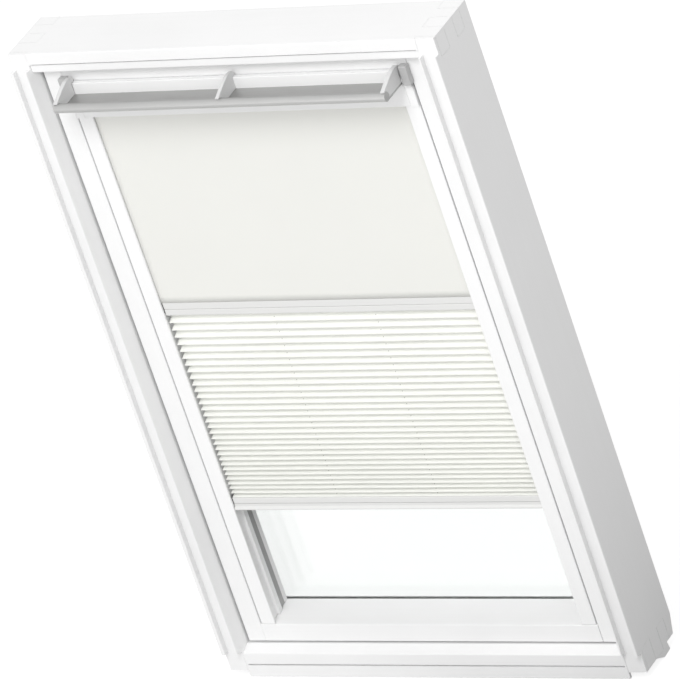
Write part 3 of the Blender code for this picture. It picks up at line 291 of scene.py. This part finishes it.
def drawn_metal(name, colour, along, roughness=0.26):
    """Drawn metal with fine lines along an axis."""
    surface, tree, shader = new_material(name, colour, roughness, Metallic=1.0)
    scale = [METAL_LINES] * 3
    scale[along] = METAL_LINES_ALONG
    lines = clouds(tree, scale, 2.0)
    patches = clouds(tree, (16.0, 40.0, 40.0), 2.0)
    colours = tinted(tree, lines, times(colour, 0.90), times(colour, 1.06))
    tree.links.new(colours, shader.inputs["Base Color"])
    tree.links.new(ranged(tree, patches, roughness - 0.05, roughness + 0.07), shader.inputs["Roughness"])
    bumped(tree, shader, (lines, 0.04 * MM, 0.35))
    return surface


def moulded(name, colour, roughness=0.45, texture=PLASTIC_PITS, depth=PLASTIC_RELIEF):
    """Moulded plastic with an eroded finish."""
    surface, tree, shader = new_material(name, colour, roughness)
    pits = clouds(tree, (texture,) * 3, 3.0, 0.6)
    flow = clouds(tree, (18.0, 18.0, 18.0), 2.0)
    colours = tinted(tree, flow, times(colour, 0.95), times(colour, 1.02))
    tree.links.new(colours, shader.inputs["Base Color"])
    tree.links.new(ranged(tree, pits, roughness - 0.07, roughness + 0.07), shader.inputs["Roughness"])
    bumped(tree, shader, (pits, depth, 0.45))
    return surface


def threads(tree, axis, pitch):
    """Parallel threads across an axis, as a height."""
    scale = [0.0, 0.0, 0.0]
    scale[axis] = 1.0 / pitch
    wave = add(
        tree, "ShaderNodeTexWave", {"Scale": WAVE_SCALE, "Distortion": 0.0}, wave_type="BANDS",
        bands_direction="XYZ"[axis], wave_profile="SIN")
    tree.links.new(stretched(tree, scale), wave.inputs["Vector"])
    return wave.outputs["Fac"]


def woven(name, colour, pitch, tone, sheen=0.25):
    """Plain weave: warp and weft crossing, slubs along the weft and slight clouding."""
    surface, tree, shader = new_material(name, colour, 0.85, Sheen_Weight=sheen, Sheen_Roughness=0.5)
    warp = threads(tree, 0, pitch)
    weft = threads(tree, 2, pitch * 0.9)
    cross = add(tree, "ShaderNodeMath", operation="MULTIPLY")
    tree.links.new(warp, cross.inputs[0])
    tree.links.new(weft, cross.inputs[1])
    slubs = clouds(tree, SLUBS, 3.0)
    haze = clouds(tree, HAZE, 2.0)
    shade = add(tree, "ShaderNodeMath", operation="ADD")
    tree.links.new(ranged(tree, cross.outputs["Value"], 0.0, 0.4, 0.0, 1.0), shade.inputs[0])
    sub = add(tree, "ShaderNodeMath", operation="ADD")
    tree.links.new(ranged(tree, slubs, 0.0, 0.25), sub.inputs[0])
    tree.links.new(ranged(tree, haze, 0.0, 0.35), sub.inputs[1])
    tree.links.new(sub.outputs["Value"], shade.inputs[1])
    colours = tinted(tree, shade.outputs["Value"], times(colour, tone), colour)
    tree.links.new(colours, shader.inputs["Base Color"])
    tree.links.new(ranged(tree, slubs, 0.78, 0.92), shader.inputs["Roughness"])
    bumped(tree, shader, (cross.outputs["Value"], 0.15 * MM, 0.5), (slubs, 0.1 * MM, 0.25))
    return surface, tree, shader, colours


def pleated_weave():
    """The pleats' cloth, with grey dots of painted shade where the two guide cords pass through it."""
    surface, tree, shader, colours = woven("pleat_cloth", PLEAT, PLEAT_THREAD, 0.93)
    place = add(tree, "ShaderNodeTexCoord")
    parts = add(tree, "ShaderNodeSeparateXYZ")
    tree.links.new(place.outputs["Object"], parts.inputs["Vector"])
    low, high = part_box("pleated_cloth")
    middle = (low.y + high.y) / 2
    nearest = None
    for x in CORD_HOLES:
        flat = add(tree, "ShaderNodeCombineXYZ")
        tree.links.new(parts.outputs["X"], flat.inputs["X"])
        tree.links.new(parts.outputs["Y"], flat.inputs["Y"])
        reach = add(tree, "ShaderNodeVectorMath", operation="DISTANCE")
        tree.links.new(flat.outputs["Vector"], reach.inputs[0])
        reach.inputs[1].default_value = (x, middle, 0)
        if nearest:
            least = add(tree, "ShaderNodeMath", operation="MINIMUM")
            tree.links.new(nearest, least.inputs[0])
            tree.links.new(reach.outputs["Value"], least.inputs[1])
            nearest = least.outputs["Value"]
        else:
            nearest = reach.outputs["Value"]
    # Each cord hole is a grey dot of painted shade; the cloth is not cut there.
    hole = ranged(tree, nearest, 1.0, 0.0, CORD_HOLE_RADIUS * CORD_HOLE_EDGE, CORD_HOLE_RADIUS)
    mix = add(tree, "ShaderNodeMix", data_type="RGBA")
    tree.links.new(hole, mix.inputs["Factor"])
    tree.links.new(colours, mix.inputs["A"])
    mix.inputs["B"].default_value = (*HOLE_SHADE, 1)
    tree.links.new(mix.outputs["Result"], shader.inputs["Base Color"])
    return surface


def clear_glass(name):
    """Window glass that lets the lamps through."""
    surface, tree, shader = new_material(name, GLASS, 0.0, Transmission_Weight=1.0, IOR=1.45)
    output = tree.nodes["Material Output"]
    path = add(tree, "ShaderNodeLightPath")
    open_air = add(tree, "ShaderNodeBsdfTransparent", {"Color": (*GLASS_SHADOW, 1)})
    mix = add(tree, "ShaderNodeMixShader")
    tree.links.new(path.outputs["Is Shadow Ray"], mix.inputs["Fac"])
    tree.links.new(shader.outputs["BSDF"], mix.inputs[1])
    tree.links.new(open_air.outputs["BSDF"], mix.inputs[2])
    tree.links.new(mix.outputs["Shader"], output.inputs["Surface"])
    smears = clouds(tree, SMEARS, 3.0)
    tree.links.new(ranged(tree, smears, 0.0, 0.02), shader.inputs["Roughness"])
    return surface


def dress(surface, *names):
    """Gives a material to nodes of the model."""
    for name in names:
        item = frame["nodes"][name]
        item.data.materials.clear()
        item.data.materials.append(surface)


def both(name):
    """The names of a left and a right node."""
    return name + "_left", name + "_right"


def dress_model():
    """Materials of all the model's nodes that stay visible."""
    dress(lacquer("frame_lacquer_across", LACQUER, 0), "frame_head", "frame_sill")
    dress(lacquer("frame_lacquer_upright", LACQUER, 2), *both("frame_side"))
    dress(lacquer("sash_lacquer_across", SASH_LACQUER, 0), "sash_head", "sash_sill")
    dress(lacquer("sash_lacquer_upright", SASH_LACQUER, 2), *both("sash_side"))
    dress(powder("blind_powder_coat", POWDER_COAT), "head_casing", *both("rail"), "vent_flap")
    dress(powder("bar_powder_coat", BAR_COAT), "middle_bar", "pleat_top_rail", "pleat_bottom_rail",
          "bottom_bar")
    dress(moulded("white_plastic", POWDER_COAT, 0.4), *both("end_cap"))
    dress(drawn_metal("bar_metal", SILVER, 0, 0.42), "control_bar", "roller_tube")
    dress(moulded("bracket_plastic", BRACKET_GREY, 0.42), *both("bar_bracket"))
    dress(moulded("arm_plastic", ARM_GREY, 0.42), *both("bar_arm"), "bar_arm_middle")
    dress(drawn_metal("cover_metal", COVER_METAL, 2, 0.34), "glazing_cover")
    dress(moulded("black_rubber", RUBBER, 0.6, RUBBER_PITS, RUBBER_RELIEF), "flap_seal",
          "weather_seal", *both("middle_bar_guide"), *both("bottom_bar_guide"))
    dress(moulded("grey_seal", SEAL_GREY, 0.7, RUBBER_PITS, RUBBER_RELIEF), *both("light_seal"))
    dress(moulded("pale_seal", PALE_SEAL, 0.6, RUBBER_PITS, RUBBER_RELIEF), "inner_gasket",
          "outer_gasket", "spacer_frame")
    dress(drawn_metal("plated_steel", STEEL, 2, 0.34), *both("frame_hinge"), *both("sash_hinge"),
          *both("frame_hinge_screw"), *both("sash_hinge_screw"), "strike_plate", "lock_case", "lock_tongue",
          "roller_spring", *both("flap_pin"))
    dress(moulded("nylon", NYLON, 0.5), *both("roller_plug"))
    dress(clear_glass("window_glass"), "inner_pane", "outer_pane")


# Cloths

def item_from(name, points, faces, surface, smooth=True):
    """An object in the scene with its mesh and its material."""
    mesh = bpy.data.meshes.new(name)
    mesh.from_pydata([tuple(point) for point in points], [], faces)
    mesh.update()
    item = bpy.data.objects.new(name, mesh)
    bpy.context.scene.collection.objects.link(item)
    mesh.materials.append(surface)
    if smooth:
        mesh.shade_smooth()
    return item


def thickened(item, thickness):
    """Gives a sheet its thickness, on both sides of its surface."""
    solid = item.modifiers.new("cloth", "SOLIDIFY")
    solid.thickness = thickness
    solid.offset = 0
    graph = bpy.context.evaluated_depsgraph_get()
    mesh = bpy.data.meshes.new_from_object(item.evaluated_get(graph))
    item.modifiers.clear()
    item.data = mesh
    return item


def grid_faces(rows, columns):
    """Four-sided faces between points that stand in rows."""
    faces = []
    for row in range(rows - 1):
        for column in range(columns - 1):
            first = row * columns + column
            faces.append((first, first + 1, first + columns + 1, first + columns))
    return faces


def share_evenly(item, top, low):
    """Each height of the cloth takes its even share of the lower bar's travel, as folds on a cord do."""
    weights = item.data.attributes["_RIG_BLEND"].data
    for vertex, weight in zip(item.data.vertices, weights):
        weight.value = min(max((top - vertex.co.z) / (top - low), 0.0), 1.0)


def fold_line(low, high):
    """(y, z, side) along the pleats from the top rail down, with rounded folds and slightly bowed faces."""
    drop = high.z - low.z
    folds = 2 * PLEATS
    first = 2 * PLEAT_SPREAD / (1 + PLEAT_SPREAD)
    corners = []
    for index in range(folds + 1):
        part = index / folds
        height = high.z - drop * (first * part + (1 - first) * part ** 2)
        spacing = drop / folds * (first + 2 * (1 - first) * part)
        depth = math.sqrt(PLEAT_FACE ** 2 - spacing ** 2) if index % 2 else 0
        corners.append(Vector((low.y + depth, height)))
    line = []
    for index in range(folds):
        here, ahead = corners[index], corners[index + 1]
        along = ahead - here
        across = Vector((-along.y, along.x)).normalized()
        for share in FACE_SHARES:
            bow = FACE_BOW * 4 * share * (1 - share)
            line.append((index, here + along * share + across * bow))
    return line


def fold_wander(x, index):
    """How far a fold leaves its straight line at x, as a share of FOLD_DRIFT: in depth and in height."""
    depth = noise.noise(Vector((x * 12, index * 2.3, 20)))
    wave = noise.noise(Vector((x * 9, index * 3.7, 0)))
    ripple = noise.noise(Vector((x * 31, index * 5.1, 7)))
    return depth, wave + 0.6 * ripple


def make_pleats(surface):
    """The pleated cloth, which opens and closes between the middle bar and the bottom bar."""
    low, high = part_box("pleated_cloth")
    line = fold_line(low, high)
    points = []
    for index, point in line:
        for column in range(PLEAT_COLUMNS + 1):
            x = low.x + (high.x - low.x) * column / PLEAT_COLUMNS
            depth, height = fold_wander(x, index)
            points.append((x, point.x + FOLD_DRIFT * depth + PLEAT_CLOTH, point.y + FOLD_DRIFT * height))
    faces = grid_faces(len(line), PLEAT_COLUMNS + 1)
    item = item_from("pleated_sheet", points, faces, surface, smooth=False)
    thickened(item, PLEAT_CLOTH)
    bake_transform(item, "middle", "bottom", start=(0, low.y, high.z), end=(0, low.y, low.z))
    share_evenly(item, high.z, low.z)
    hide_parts("pleated_cloth")


def make_blackout(surface):
    """The free part of the blackout cloth, from the roller down to the middle bar."""
    low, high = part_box("blackout_cloth")
    middle = (low.y + high.y) / 2
    columns, rows = SHEET_GRID
    points = []
    for row in range(rows + 1):
        down = row / rows
        for column in range(columns + 1):
            across = column / columns
            x = low.x + (high.x - low.x) * across
            z = high.z - (high.z - low.z) * down
            rise = math.sin(math.pi * down) * math.sin(math.pi * across)
            ripple = noise.noise(Vector((x * 7, z * 2.5, 3)))
            points.append((x, middle + SHEET_BOW * rise * (1 + 0.5 * ripple), z))
    item = item_from("blackout_sheet", points, grid_faces(rows + 1, columns + 1), surface)
    thickened(item, SHEET_CLOTH)
    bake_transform(item, "sash", "middle", start=(0, middle, high.z), end=(0, middle, low.z))
    share_evenly(item, high.z, low.z)
    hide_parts("blackout_cloth")


def make_roll(surface):
    """The wound part of the blackout cloth, as one spiral from the tube outward."""
    low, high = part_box("wound_cloth")
    tube_low, tube_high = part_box("roller_tube")
    centre = (low + high) / 2
    inner = (tube_high.z - tube_low.z) / 2 + 0.5 * ROLL_PITCH + ROLL_START
    outer = (high.z - low.z) / 2 - 0.5 * ROLL_PITCH
    turns = (outer - inner) / ROLL_PITCH
    steps = int(turns * ROLL_STEPS)
    points = []
    for step in range(steps + 1):
        angle = 2 * math.pi * turns * step / steps
        radius = inner + (outer - inner) * step / steps
        y = centre.y - radius * math.cos(angle)
        z = centre.z + radius * math.sin(angle)
        points += [(low.x, y, z), (centre.x, y, z), (high.x, y, z)]
    item = item_from("wound_sheet", points, grid_faces(steps + 1, 3), surface)
    thickened(item, SHEET_CLOTH)
    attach(item, "roller")
    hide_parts("wound_cloth")


def make_fleece(surface):
    """The two filters: soft blocks with drawn-in edges and a ribbed face."""
    for side in ("left", "right"):
        node = "air_filter_" + side
        low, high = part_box(node)
        size = high - low
        centre = (low + high) / 2
        work = bmesh.new()
        bmesh.ops.create_cube(work, size=1)
        bmesh.ops.subdivide_edges(work, edges=work.edges, cuts=FLEECE_CUTS, use_grid_fill=True)
        for vertex in work.verts:
            place = Vector(vertex.co)
            rib = 0.5 + 0.5 * math.cos(place.x * 2 * math.pi * FLEECE_RIBS)
            ends = abs(2 * place.x) ** FLEECE_CORNER + abs(2 * place.z) ** FLEECE_CORNER
            draw = 1 - FLEECE_DRAW[0] * ends
            rough = FLEECE_ROUGH * noise.noise(place * 9)
            place.y *= draw * (FLEECE_FACE[0] + FLEECE_FACE[1] * rib) + rough
            place.z *= FLEECE_HEIGHT - FLEECE_DRAW[1] * abs(2 * place.y) ** FLEECE_CORNER
            place.x *= FLEECE_LENGTH
            vertex.co = Vector((place.x * size.x, place.y * size.y, place.z * size.z)) + centre
        mesh = bpy.data.meshes.new("filter_fleece_" + side)
        work.to_mesh(mesh)
        work.free()
        item = bpy.data.objects.new("filter_fleece_" + side, mesh)
        bpy.context.scene.collection.objects.link(item)
        mesh.materials.append(surface)
        mesh.shade_smooth()
        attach(item, "sash")
        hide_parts(node)


# Surroundings

def make_floor():
    """A white floor with the window's shadow, which gives back less light beside the right side."""
    low = CAD_BOX[0].z
    half = FLOOR_SIZE / 2
    points = [(-half, -half, low), (half, -half, low), (half, half, low), (-half, half, low)]
    surface = bpy.data.materials.new("pale_floor")
    surface.use_nodes = True
    tree = surface.node_tree
    tree.nodes.remove(tree.nodes["Principled BSDF"])
    glow = add(tree, "ShaderNodeEmission", {"Color": (1, 1, 1, 1), "Strength": FLOOR_GLOW})
    shade = add(tree, "ShaderNodeBsdfDiffuse", {"Color": (FLOOR_SHADE, FLOOR_SHADE, FLOOR_SHADE, 1)})
    seen = add(tree, "ShaderNodeAddShader")
    tree.links.new(glow.outputs["Emission"], seen.inputs[0])
    tree.links.new(shade.outputs["BSDF"], seen.inputs[1])
    place = add(tree, "ShaderNodeTexCoord")
    reach = add(tree, "ShaderNodeVectorMath", operation="DISTANCE")
    tree.links.new(place.outputs["Object"], reach.inputs[0])
    reach.inputs[1].default_value = DIM_PLACE
    grey = ranged(tree, reach.outputs["Value"], DIM_BOUNCE, FLOOR_BOUNCE, *DIM_RANGE)
    bounce = add(tree, "ShaderNodeBsdfDiffuse")
    tree.links.new(grey, bounce.inputs["Color"])
    mix = add(tree, "ShaderNodeMixShader")
    tree.links.new(direct_rays(tree), mix.inputs["Fac"])
    tree.links.new(bounce.outputs["BSDF"], mix.inputs[1])
    tree.links.new(seen.outputs["Shader"], mix.inputs[2])
    tree.links.new(mix.outputs["Shader"], tree.nodes["Material Output"].inputs["Surface"])
    floor = item_from("floor", points, [(0, 1, 2, 3)], surface, smooth=False)


def direct_rays(tree):
    """1 for what the camera sees, itself or in metal and glass."""
    path = add(tree, "ShaderNodeLightPath")
    value = path.outputs["Is Camera Ray"]
    for name in ("Is Glossy Ray", "Is Transmission Ray"):
        most = add(tree, "ShaderNodeMath", operation="MAXIMUM")
        tree.links.new(value, most.inputs[0])
        tree.links.new(path.outputs[name], most.inputs[1])
        value = most.outputs["Value"]
    return value


def make_world():
    """Even light from all round, in front of a white backdrop."""
    world = bpy.data.worlds.new("studio")
    world.use_nodes = True
    tree = world.node_tree
    light = tree.nodes["Background"]
    light.inputs["Color"].default_value = (1, 1, 1, 1)
    light.inputs["Strength"].default_value = WORLD_LIGHT
    backdrop = add(tree, "ShaderNodeBackground", {"Color": (1, 1, 1, 1), "Strength": 1.0})
    mix = add(tree, "ShaderNodeMixShader")
    tree.links.new(direct_rays(tree), mix.inputs["Fac"])
    tree.links.new(light.outputs["Background"], mix.inputs[1])
    tree.links.new(backdrop.outputs["Background"], mix.inputs[2])
    tree.links.new(mix.outputs["Shader"], tree.nodes["World Output"].inputs["Surface"])
    bpy.context.scene.world = world


def soft_lamp(name, place, width, power):
    """A round lamp that shines at the middle of the window."""
    lamp = bpy.data.lights.new(name, "AREA")
    lamp.shape = "DISK"
    lamp.size = width
    lamp.energy = power
    item = bpy.data.objects.new(name, lamp)
    bpy.context.scene.collection.objects.link(item)
    item.location = place
    item.rotation_euler = (Vector(LAMP_TARGET) - Vector(place)).to_track_quat("-Z", "Y").to_euler()


def make_lamps():
    soft_lamp("front_lamp", **FRONT_LAMP)
    soft_lamp("key_lamp", **KEY_LAMP)


def make_camera():
    """The camera at the photograph's viewing angle."""
    data = bpy.data.cameras.new("photo_camera")
    data.lens = CAMERA_LENS
    data.clip_end = CAMERA_REACH
    item = bpy.data.objects.new("photo_camera", data)
    bpy.context.scene.collection.objects.link(item)
    item.location = CAMERA_PLACE
    item.rotation_euler = [math.radians(angle) for angle in CAMERA_TURN]
    bpy.context.scene.camera = item


# The scene

bpy.ops.object.select_all(action="SELECT")
bpy.ops.object.delete()
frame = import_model()
CAD_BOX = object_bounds()
make_camera()
make_world()
make_lamps()
make_floor()
dress_model()
make_pleats(pleated_weave())
cloth = woven("blackout_cloth", BLACKOUT, BLACKOUT_THREAD, 0.965)[0]
make_blackout(cloth)
make_roll(cloth)
make_fleece(woven("fleece", FLEECE, FLEECE_THREAD, 0.6)[0])
bpy.context.scene.view_settings.view_transform = "Standard"
